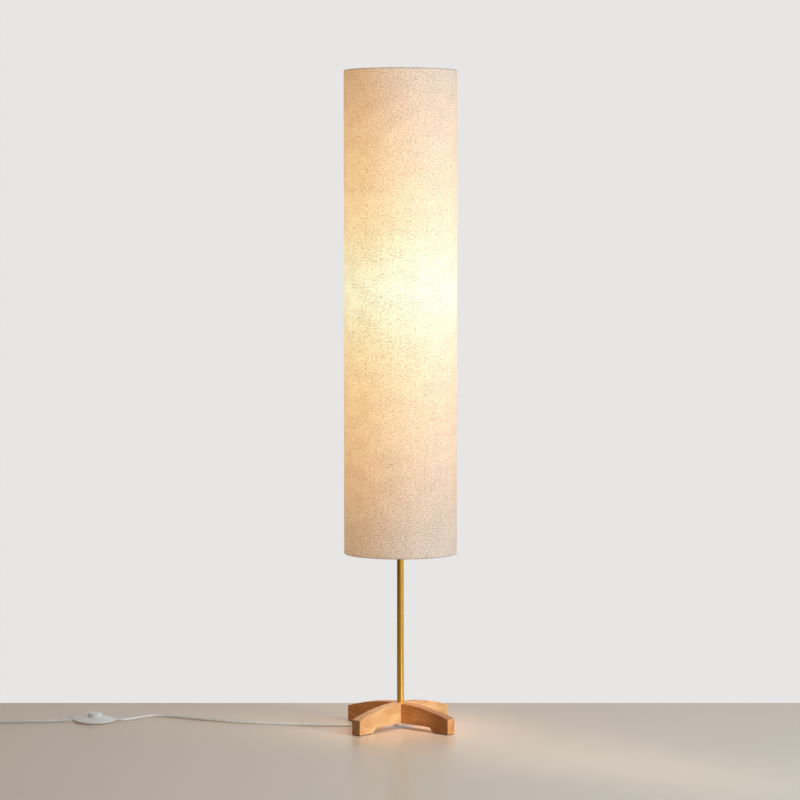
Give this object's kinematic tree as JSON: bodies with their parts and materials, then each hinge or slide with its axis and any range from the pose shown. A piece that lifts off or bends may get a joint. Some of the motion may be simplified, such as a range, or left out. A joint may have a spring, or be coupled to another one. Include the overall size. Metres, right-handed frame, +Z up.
{
  "type": "column floor lamp",
  "caption": "Tall linen drum shade on a slim brass stem, standing in a half-lapped timber cross base, with a clear cord, a round foot switch and a plug.",
  "frame": {"origin": "on the floor, under the middle of the cross base", "axes": "+Z up along the stem; the bars lie at 45 degrees to X and Y; the cord leaves towards -X; the lamp is seen from about -Y"},
  "size_m": [1.0518, 0.3822, 1.338],
  "materials": {
    "lower bar wood": "satin oiled, open grain",
    "upper bar wood": "satin oiled, open grain",
    "foot pad": "matte",
    "stem brass": "satin lacquered",
    "nipple brass": "turned",
    "zinc steel": "zinc plated",
    "clear cord": "clear flexible PVC",
    "tinned core": "tinned strands in clear insulation",
    "bushing plastic": "moulded",
    "holder plastic": "moulded, satin",
    "insert ceramic": "unglazed",
    "contact brass": "stamped",
    "bulb cap": "rolled",
    "bulb insulator": "moulded",
    "bulb housing": "moulded",
    "bulb globe": "frosted, lit warm white",
    "shade linen": "slubbed natural linen weave",
    "shade liner": "translucent lamp-shade laminate",
    "shade wire": "white powder coat",
    "cord tie": "ribbed strip",
    "switch plastic": "translucent moulded",
    "switch rubber": "matte",
    "switch nylon": "moulded",
    "spring steel": "drawn wire",
    "rotor plastic": "moulded phenolic",
    "bridge copper": "stamped",
    "plug plastic": "translucent moulded PVC",
    "sleeve plastic": "moulded",
    "pin metal": "nickel plated brass"
  },
  "bodies": {
    "lamp": {"base_bar_lower": "lower bar wood", "base_bar_upper": "upper bar wood", "foot_pads": "foot pad", "hub_nipple": "nipple brass", "hub_washer": "zinc steel", "hub_lock_washer": "zinc steel", "hub_nut": "zinc steel", "cord_bushing": "bushing plastic", "stem_tube": "stem brass", "stem_lead": "clear cord", "holder_nipple": "nipple brass", "holder_cap": "holder plastic", "holder_set_screw": "zinc steel", "holder_body": "holder plastic", "holder_insert": "insert ceramic", "holder_shell": "contact brass", "holder_contact": "contact brass", "holder_leads": "tinned core", "bulb_contact": "zinc steel", "bulb_insulator": "bulb insulator", "bulb_cap": "bulb cap", "bulb_housing": "bulb housing", "bulb_globe": "bulb globe", "shade_fabric": "shade linen", "shade_liner": "shade liner", "shade_top_ring": "shade wire", "shade_bottom_ring": "shade wire", "shade_spider": "shade wire", "shade_ring_nut": "holder plastic", "cord_to_switch": "clear cord", "cord_to_coil": "clear cord", "cord_coil": "clear cord", "cord_ties": "cord tie", "cord_to_plug": "clear cord", "switch_base": "switch plastic", "switch_pads": "switch rubber", "switch_cover": "switch plastic", "switch_screws": "zinc steel", "switch_spring": "spring steel", "switch_contacts": "contact brass", "terminal_screws": "zinc steel", "switch_wiring": "tinned core", "plug_body": "plug plastic", "plug_sleeves": "sleeve plastic", "plug_pins": "pin metal"},
    "pedal": {"switch_button": "switch plastic", "switch_plunger": "switch nylon"},
    "rotor": {"switch_rotor": "rotor plastic", "rotor_bridge": "bridge copper"}
  },
  "joints": [
    {"name": "button_press", "type": "slide", "parent": "lamp", "child": "pedal", "axis": [0, 0, -1], "range_m": [0, 0.0026], "stiffness_N_per_m": 1500, "springref_m": -0.002, "deforming": ["switch_spring"]},
    {"name": "rotor_turn", "type": "hinge", "parent": "lamp", "child": "rotor", "pos_m": [-0.627, 0.111, 0.005], "axis": [0, 0, 1], "range_deg": [0, 45]}
  ],
  "couplings": [
    {"joint": "rotor_turn", "follows": "button_press", "rad_per_m": 302}
  ]
}
